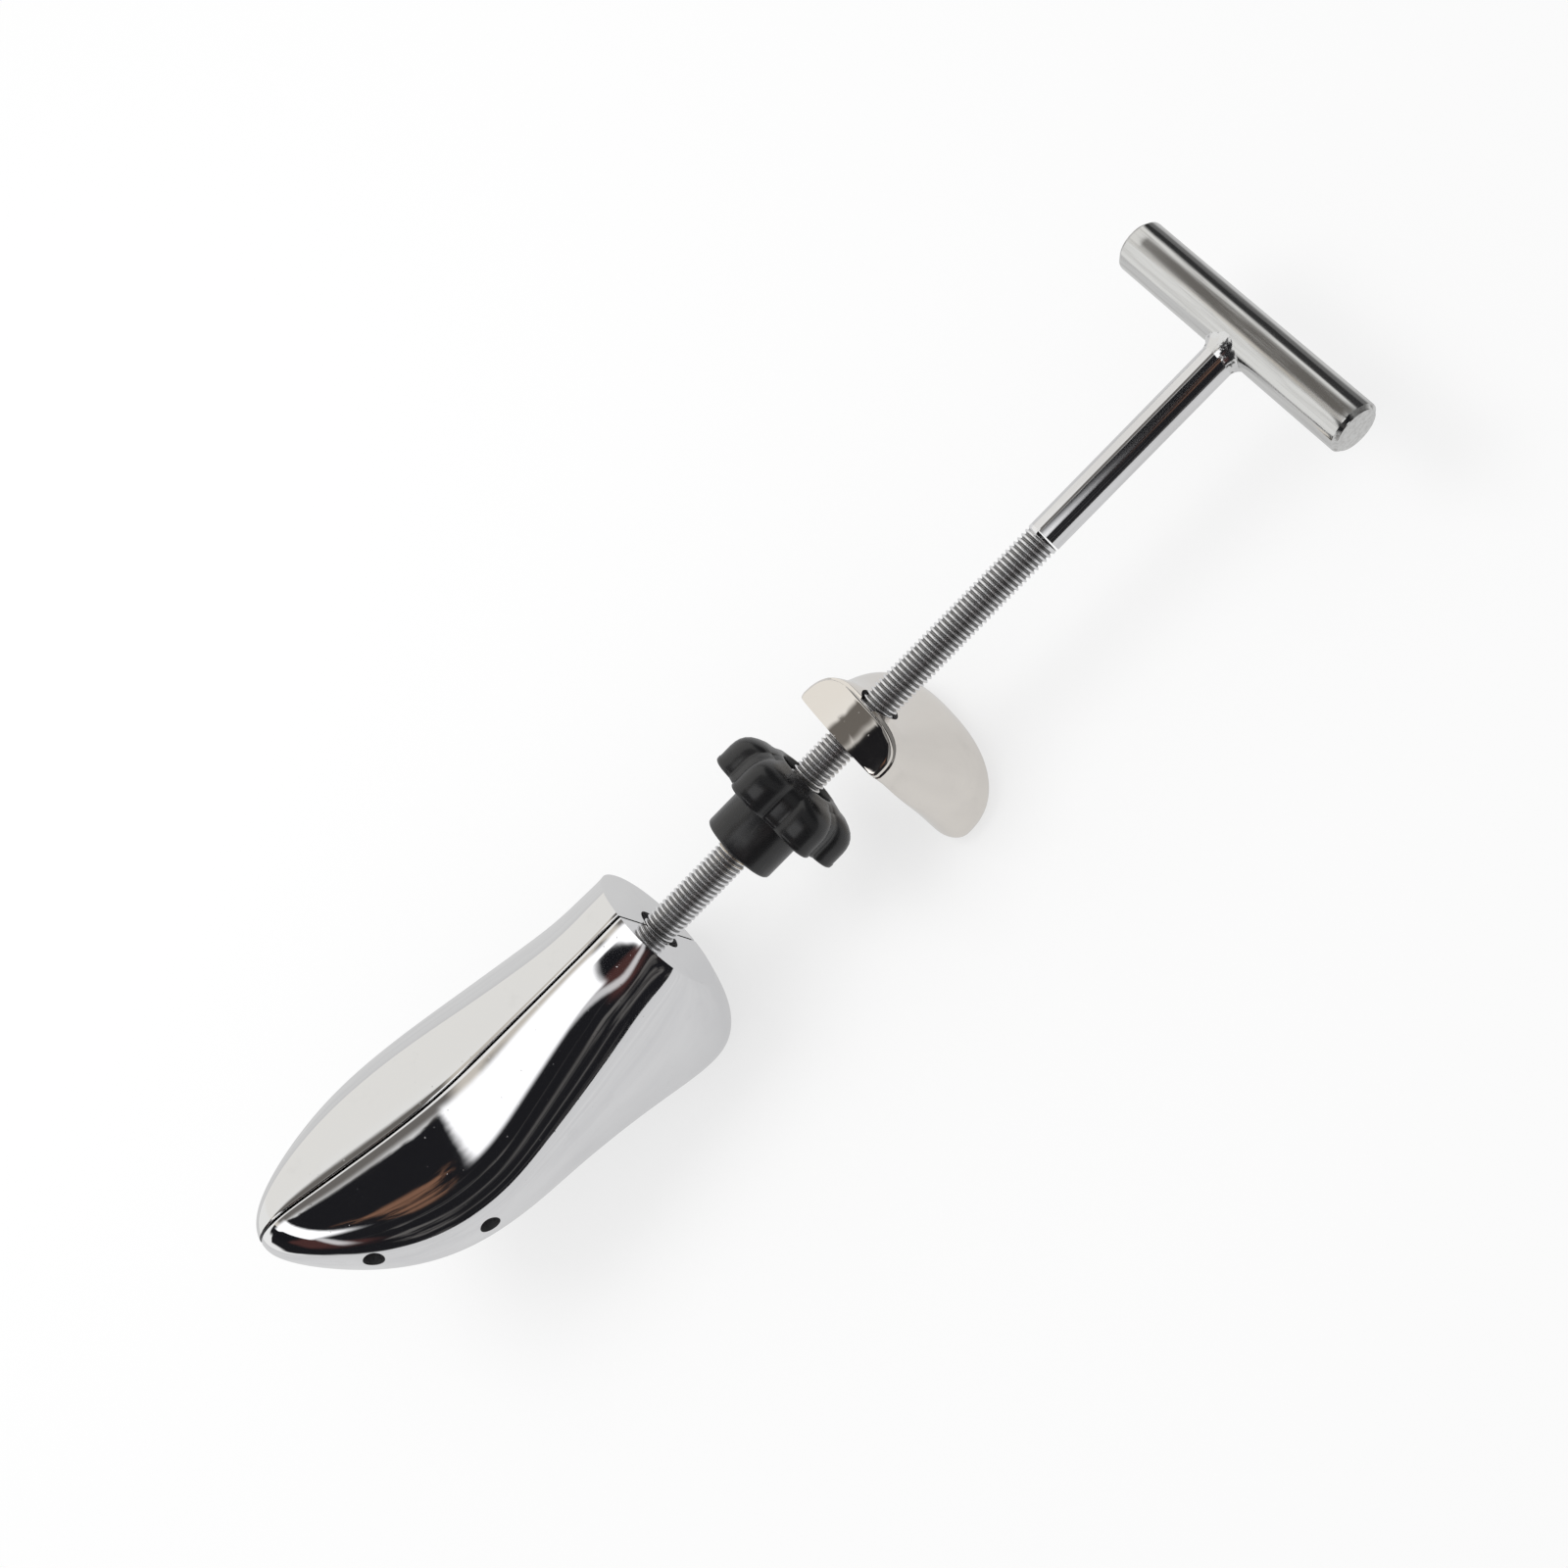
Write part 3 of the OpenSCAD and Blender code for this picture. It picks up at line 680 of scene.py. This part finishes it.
def heel_block():
    bm = bmesh.new()
    skin_grid(bm, LEVELS, AROUND, heel_point)
    close_up(bm)
    block = finished("heel_body", bm, [HEEL_CHROME, CAST], "heel", "heel_block",
                     HEEL_SHARP)
    carve(block, [tube_cut(HEEL_HOLE_R, *(at(0, y, 0) for y in HEEL_HOLE_Y), 96)])


heel_block()

# Rod, bar and weld
THREAD_DEPTH, CREST, ROOT = 0.86, 0.12, 0.9
ROWS_PER_PITCH, THREAD_SIDES = 10, 40
ROD_IN_BAR = BAR_Y - BAR_R + 8
RIM_R = 0.25
WELD_REACH, WELD_START, WELD_SINK = 3.15, 2.9, 0.35


def thread_radius(phase):
    """Radius over one pitch: flat crest, sloping flanks, rounded root."""
    flank = abs(phase % 1.0 - 0.5) * 2
    return ROD_R - THREAD_DEPTH * smooth(CREST, ROOT, flank)


def screw_rod():
    bm = bmesh.new()
    start = -SHOULDER_T - 0.2
    rows = (int((THREAD_END - start) / PITCH) + 1) * ROWS_PER_PITCH

    def where(i, j):
        turns = round(i * rows) / ROWS_PER_PITCH
        y = start + PITCH * (turns + j - 1)
        fade = smooth(THREAD_END + 0.6, THREAD_END - 1.2, y) * smooth(start, start + 1.5, y)
        r = ROD_R - (ROD_R - thread_radius(turns)) * fade
        y = min(max(y, -SHOULDER_T), THREAD_END + 1)
        return at(r * math.sin(j * math.tau), y, r * math.cos(j * math.tau))
    skin_grid(bm, rows, THREAD_SIDES, where)
    weld_seams(bm)
    thread = set(bm.faces)
    rod_shape(bm, [(ROD_R, THREAD_END + 1), (ROD_R, THREAD_END + 2), (ROD_R, ROD_IN_BAR),
                   (0, ROD_IN_BAR)], 64)
    groove_from, groove_to = CLIP_GROOVE
    rod_shape(bm, [(ROD_R, -SHOULDER_T), (JOURNAL_R + 0.2, -SHOULDER_T),
                   (JOURNAL_R, -SHOULDER_T - 0.2), (JOURNAL_R, -groove_from + 0.05),
                   (CLIP_GROOVE_R, -groove_from), (CLIP_GROOVE_R, -groove_to),
                   (JOURNAL_R, -groove_to - 0.05), (JOURNAL_R, -JOURNAL_T + 0.5),
                   (JOURNAL_R - 0.5, -JOURNAL_T), (0, -JOURNAL_T)], 48)
    for f in bm.faces:
        if f not in thread:
            f.material_index = 1
    weld_seams(bm)
    face_out(bm)
    finished("threaded_rod", bm, [THREAD, SHANK], "handle", "screw_rod", ROD_SHARP)


def cross_bar():
    bm = bmesh.new()
    half = BAR_L / 2
    rim = [(half, BAR_R - BAR_CHAM - 0.2)]
    for k in range(1, 5):
        a = k / 4 * math.pi / 2
        rim.append((half - RIM_R + RIM_R * math.cos(a), BAR_R - BAR_CHAM - 0.2 + 0.2 * math.sin(a)))
    side = ([(half, 0.0), (half, 3.0)] + rim
            + [(half - BAR_CHAM - 0.1, BAR_R - 0.05), (half - BAR_CHAM - 0.5, BAR_R)]
            + [(x, BAR_R) for x in (36, 30, 24, 18, 12, 6)])
    outline = side + [(-x, r) for x, r in reversed(side)]
    spin_line(bm, [at(x, BAR_Y, r) for x, r in outline], at(0, BAR_Y, 0), (1, 0, 0), 96)
    weld_seams(bm, FINE_SEAM)
    face_out(bm)
    finished("grip_bar", bm, [BAR], "handle", "cross_bar", BAR_SHARP)


def weld_bead():
    """A lumpy fillet that climbs from the rod onto the bar."""
    bm = bmesh.new()
    root = BAR_Y - BAR_R

    def where(i, j):
        a = j * math.tau
        wob = 0.22 * math.sin(7 * a + 1.3) + 0.16 * math.sin(13 * a + 4) + 0.1 * math.sin(23 * a)
        lift = abs(math.cos(a))
        s = math.sin(i * math.pi / 2)
        climb = (WELD_REACH + 0.5 * wob) * (1 - math.cos(i * math.pi / 2)) * (1 - 0.24 * lift)
        r = ROD_R - 0.06 + climb + 0.12 * wob * math.sin(i * math.pi)
        touch = BAR_Y - math.sqrt(max(0.0, BAR_R ** 2 - min(BAR_R, r * lift) ** 2))
        y = (root - WELD_START - 0.4 * wob) * (1 - s) + (touch + WELD_SINK) * s
        return at(r * math.sin(a), y, r * math.cos(a))
    skin_grid(bm, 14, 120, where)
    weld_seams(bm)
    fill_ends(bm)
    face_out(bm)
    finished("weld_ring", bm, [WELD], "handle", "weld_bead", ROD_SHARP)


screw_rod()
cross_bar()
weld_bead()

# Star knob
LOBES, KNOB_SIDES = 6, 240
GROOVE_SOFT = 0.35
CROWDING = 0.16
# Section from the collar's inner edge round the head to the recess: (part, r, y). Part 0 is
# round, at radius r. Part 1 follows the lobes, r further out. Part 2 is the face behind them.
KNOB_SECTION = [
    (0, INSERT_R, COLLAR_Y), (0, COLLAR_R - 0.9, COLLAR_Y), (0, COLLAR_R - 0.5, COLLAR_Y + 0.1),
    (0, COLLAR_R - 0.12, COLLAR_Y + 0.45), (0, COLLAR_R, COLLAR_Y + 1.0),
    (0, COLLAR_R, COLLAR_Y + 5), (0, COLLAR_R, HEAD_Y - 1.1), (0, COLLAR_R + 0.15, HEAD_Y - 0.45),
    (0, COLLAR_R + 0.55, HEAD_Y - 0.08), (0, COLLAR_R + 1.2, HEAD_Y), (0, 14.0, HEAD_Y),
    (1, -1.1, HEAD_Y), (1, -0.5, HEAD_Y + 0.06), (1, -0.12, HEAD_Y + 0.35), (1, 0.0, HEAD_Y + 0.9),
    (1, 0.0, HEAD_Y + 1.5), (1, -0.16, HEAD_Y + 1.75), (1, -0.16, HEAD_Y + 3.4),
    (1, -0.18, HEAD_Y + 5.6), (1, -0.34, HEAD_Y + 7.2), (1, -0.75, HEAD_Y + 8.6),
    (1, -1.5, HEAD_Y + 9.9), (1, -2.6, HEAD_Y + 11.0), (1, -4.1, HEAD_Y + 11.9),
    (1, -5.8, HEAD_Y + 12.6), (2, 13.2, RIM_Y - 0.8), (2, 11.4, RIM_Y - 0.3),
    (2, 10.0, RIM_Y - 0.04), (0, 9.4, RIM_Y), (0, 9.0, RIM_Y - 0.12), (0, RECESS_R, RIM_Y - 0.45),
    (0, RECESS_R, RIM_Y - 3), (0, RECESS_R, RECESS_FLOOR_Y + 0.3),
    (0, RECESS_R - 0.3, RECESS_FLOOR_Y), (0, INSERT_R, RECESS_FLOOR_Y), (0, INSERT_R, 50),
    (0, INSERT_R, 40), (0, INSERT_R, COLLAR_Y)]


def knob_outline(a):
    """Radius of the lobed head at angle a from straight up: round lobes, narrow grooves."""
    step = math.tau / LOBES
    b = (a + step / 2) % step - step / 2
    mid = KNOB_R - LOBE_R
    inside = LOBE_R ** 2 - (mid * math.sin(b)) ** 2
    lobe = mid * math.cos(b) + math.sqrt(inside) if inside > 0 else 0.0
    hi, lo = max(lobe, CORE_R), min(lobe, CORE_R)
    return hi + GROOVE_SOFT * math.exp(-(hi - lo) / GROOVE_SOFT) * 0.5


def knob_angle(j):
    """Spreads the points so that they crowd in the grooves."""
    step = math.tau / LOBES
    a = j * math.tau
    k = math.floor(a / step + 0.5)
    b = (a - k * step) / (step / 2)
    return k * step + (b + CROWDING * math.sin(math.pi * b)) * step / 2


def star_knob():
    bm = bmesh.new()
    n = len(KNOB_SECTION) - 1

    def where(i, j):
        part, r, y = KNOB_SECTION[round(i * n)]
        a = knob_angle(j)
        edge = knob_outline(a)
        dip = (KNOB_R - edge) / (KNOB_R - CORE_R)
        if part == 1:
            r = edge + r * (1 - 0.25 * dip)
        elif part == 2:
            y -= 0.5 * dip * smooth(9.5, 13.2, r)
            r = min(r, edge - 5.0) if r > 12 else r
        return at(r * math.sin(a), y, r * math.cos(a))
    skin_grid(bm, n, KNOB_SIDES, where)
    weld_seams(bm)
    face_out(bm)
    finished("lobed_knob", bm, [KNOB], "knob", "star_knob", KNOB_SHARP)


star_knob()

# Pieces kept from the CAD
KEPT = {
    "hinge_leaf_left": BRASS, "hinge_leaf_right": BRASS, "hinge_pin": STEEL,
    "leaf_screws_left": STEEL, "leaf_screws_right": STEEL, "guide_nut": BRASS,
    "spreader_cone": CONE_STEEL, "thrust_washer": BRASS, "cone_clip": SPRING,
    "return_spring": SPRING, "spring_pin_left": STEEL, "spring_pin_right": STEEL,
    "knob_insert": BRASS}
for node, mat in KEPT.items():
    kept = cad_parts[node]
    kept.data.materials.clear()
    kept.data.materials.append(mat)

# Floor and light
FLOOR_HALF, FLOOR_DROP = 4.0, 0.0004
WHITE = (1, 1, 1)


def pale_floor(s):
    """Pale and shaded under the object, plain white further off. Metal mirrors a painted reflection
    that glows in its place, greyer, and dark past the handle."""
    shade = s.node("ShaderNodeBsdfDiffuse", {}, {"Color": (0.90, 0.90, 0.90, 1)})
    direct = s.node("ShaderNodeLightPath", out="Is Camera Ray")
    gloss = s.node("ShaderNodeLightPath", out="Is Glossy Ray")
    p = s.here()
    x, y = s.part(p, "X"), s.part(p, "Y")
    cloud = s.band(s.noise(p, 11, 4, 0.6), 0.35, 0.7)
    # Painted reflection: to glossy rays the floor glows grey near the object and dark past the
    # handle
    painted_near_grey = s.mix(cloud, (0.66, 0.66, 0.66), (0.58, 0.58, 0.585))
    painted_floor_reflection = s.mix(s.band(y, 0.225, 0.30), painted_near_grey, (0.05, 0.05, 0.05))
    glow = s.node("ShaderNodeEmission", {}, {"Color": s.mix(gloss, WHITE, painted_floor_reflection),
                                             "Strength": 1.0})
    away = s.band((x * x + y * y) ** 0.5, 0.5, 1.8)
    share = (direct * (0.62 + away * 0.38)).most(gloss * 0.85)
    out = s.node("ShaderNodeMixShader", {}, {0: share, 1: shade, 2: glow})
    s.node("ShaderNodeOutputMaterial", {}, {0: out})


def lay_floor():
    """A flat square, a hair under the object."""
    bm = bmesh.new()
    bmesh.ops.create_grid(bm, x_segments=1, y_segments=1, size=FLOOR_HALF)
    bmesh.ops.translate(bm, verts=bm.verts, vec=(0, 0, -FLOOR_DROP))
    mesh = bpy.data.meshes.new("floor")
    bm.to_mesh(mesh)
    bm.free()
    mesh.materials.append(material("pale_floor", pale_floor))
    floor = bpy.data.objects.new("floor", mesh)
    scene.collection.objects.link(floor)


lay_floor()

world = bpy.data.worlds.new("studio")
scene.world = world
world.use_nodes = True
sky = Shop(world.node_tree)
ray = sky.node("ShaderNodeTexCoord", out="Generated")


def facing(axis):
    return sky.node("ShaderNodeVectorMath", {"operation": "DOT_PRODUCT"},
                    {0: ray, 1: tuple(axis)}, out=1)


def degrees(operation, *parts):
    return sky.node("ShaderNodeMath", {"operation": operation},
                    dict(enumerate(parts))) * (180 / math.pi)


def between(value, lo, hi, soft_lo, soft_hi=None):
    """1 between lo and hi, with soft edges."""
    soft_hi = soft_hi or soft_lo
    return (sky.band(value, lo - soft_lo, lo + soft_lo)
            * (1 - sky.band(value, hi - soft_hi, hi + soft_hi)))


# What polished metal mirrors of the studio goes by these angles across and along the rod, in
# degrees, and by the same angles torn by noise
across = degrees("ARCTAN2", facing(SIDE), facing(TO_CAM))
length = degrees("ARCSINE", facing(ALONG))
shake = (sky.noise(ray, 5.0, 4, 0.62) - 0.5) * 14
torn_across = across + shake
torn_length = length + shake * 0.5


def pale_walls():
    """Pale walls, a little warmer on the far side."""
    warm = between(length, -24, 40, 3, 12) * between(across, -180, -60, 1, 10) * 0.4
    return sky.mix(warm, (0.88, 0.88, 0.87), (0.80, 0.77, 0.72))


def with_dark_room(studio):
    """A dark room above the rod, its narrow warm edge, and a dark corner towards the nose."""
    room = between(torn_across, -41, 72, 2, 8) * between(length, -75, 14, 5, 4)
    high_room = between(across, -46, 74, 12, 12) * between(length, 12, 60, 6, 12)
    studio = sky.mix(room.most(high_room * 0.8), studio, (0.012, 0.012, 0.014))
    edge = between(across, -58, -42, 2, 4) * between(length, -27, 34, 1, 10)
    tint = sky.mix(sky.band(length, -20, -12), (0.60, 0.56, 0.50), (0.15, 0.14, 0.13))
    studio = sky.mix(edge, studio, tint)
    corner = between(across, -53, 46, 2, 8) * between(length, -47, -23, 8, 0.8)
    return sky.mix(corner, studio, (0.010, 0.010, 0.012))


def with_cards(studio):
    """Grey streaks and two brown cards in the room."""
    streak = (sky.band(sky.noise(ray, 9.0, 3, 0.55, (1.0, 0.35, 1.0)), 0.52, 0.68)
              * between(across, 18, 64, 6) * between(length, -34, 12, 5) * 0.5)
    studio = sky.mix(streak, studio, (0.22, 0.21, 0.20))
    light_card = (between(torn_across, -4, 20, 3, 6) * between(torn_length, -4.5, 3, 1.2, 2)
                  * sky.band(sky.noise(ray, 14.0, 3, 0.6), 0.35, 0.6))
    studio = sky.mix(light_card, studio, (0.21, 0.11, 0.07))
    dark_card = between(torn_across, 2, 38, 5, 8) * between(torn_length, -44, -22, 5, 3) * 0.8
    return sky.mix(dark_card, studio, (0.085, 0.035, 0.032))


def with_window(studio):
    """The window: sharp at its foot, torn at its head, with a dim tail."""
    foot = -24.4 - (1 - sky.band(across, -36, -27)) * 4
    head = 1 - sky.band(length + shake * 0.2, -10.5, -6.5)
    window = between(across, -44, 9, 5, 4) * sky.band(length - foot, -1.2, 1.2) * head
    slant = length + across * 0.32
    tail = between(across, 4, 34, 4, 6) * between(slant, -19.5, -15, 1.5) * 0.45
    return sky.mix(window.most(tail), studio, (1.25, 1.25, 1.26))


def with_dark_end(studio):
    """The room is dark past the handle."""
    return sky.mix(sky.band(length, 42, 52), studio, (0.035, 0.035, 0.036))


def light_world():
    """Plain soft light for the object, the studio in its mirror finish, white behind it."""
    studio = with_dark_end(with_window(with_cards(with_dark_room(pale_walls()))))
    gloss = sky.node("ShaderNodeLightPath", out="Is Glossy Ray")
    direct = sky.node("ShaderNodeLightPath", out="Is Camera Ray")
    plain = sky.node("ShaderNodeBackground", {}, {"Color": (*WHITE, 1), "Strength": 0.82})
    pattern = sky.node("ShaderNodeBackground", {}, {"Color": studio, "Strength": 1.0})
    white = sky.node("ShaderNodeBackground", {}, {"Color": (*WHITE, 1), "Strength": 1.0})
    lit = sky.node("ShaderNodeMixShader", {}, {0: gloss, 1: plain, 2: pattern})
    lit = sky.node("ShaderNodeMixShader", {}, {0: direct, 1: lit, 2: white})
    sky.node("ShaderNodeOutputWorld", {}, {0: lit})


def hang_key():
    """A soft lamp high on the right, towards the nose, that metal doesn't mirror."""
    key = bpy.data.objects.new("key", bpy.data.lights.new("key", "AREA"))
    key.data.energy = 3.0
    key.data.size = 0.5
    key.location = Vector((-0.35, -0.25, 0.9))
    key.rotation_euler = (-key.location).to_track_quat("-Z", "Y").to_euler()
    key.visible_glossy = False
    scene.collection.objects.link(key)


light_world()
hang_key()
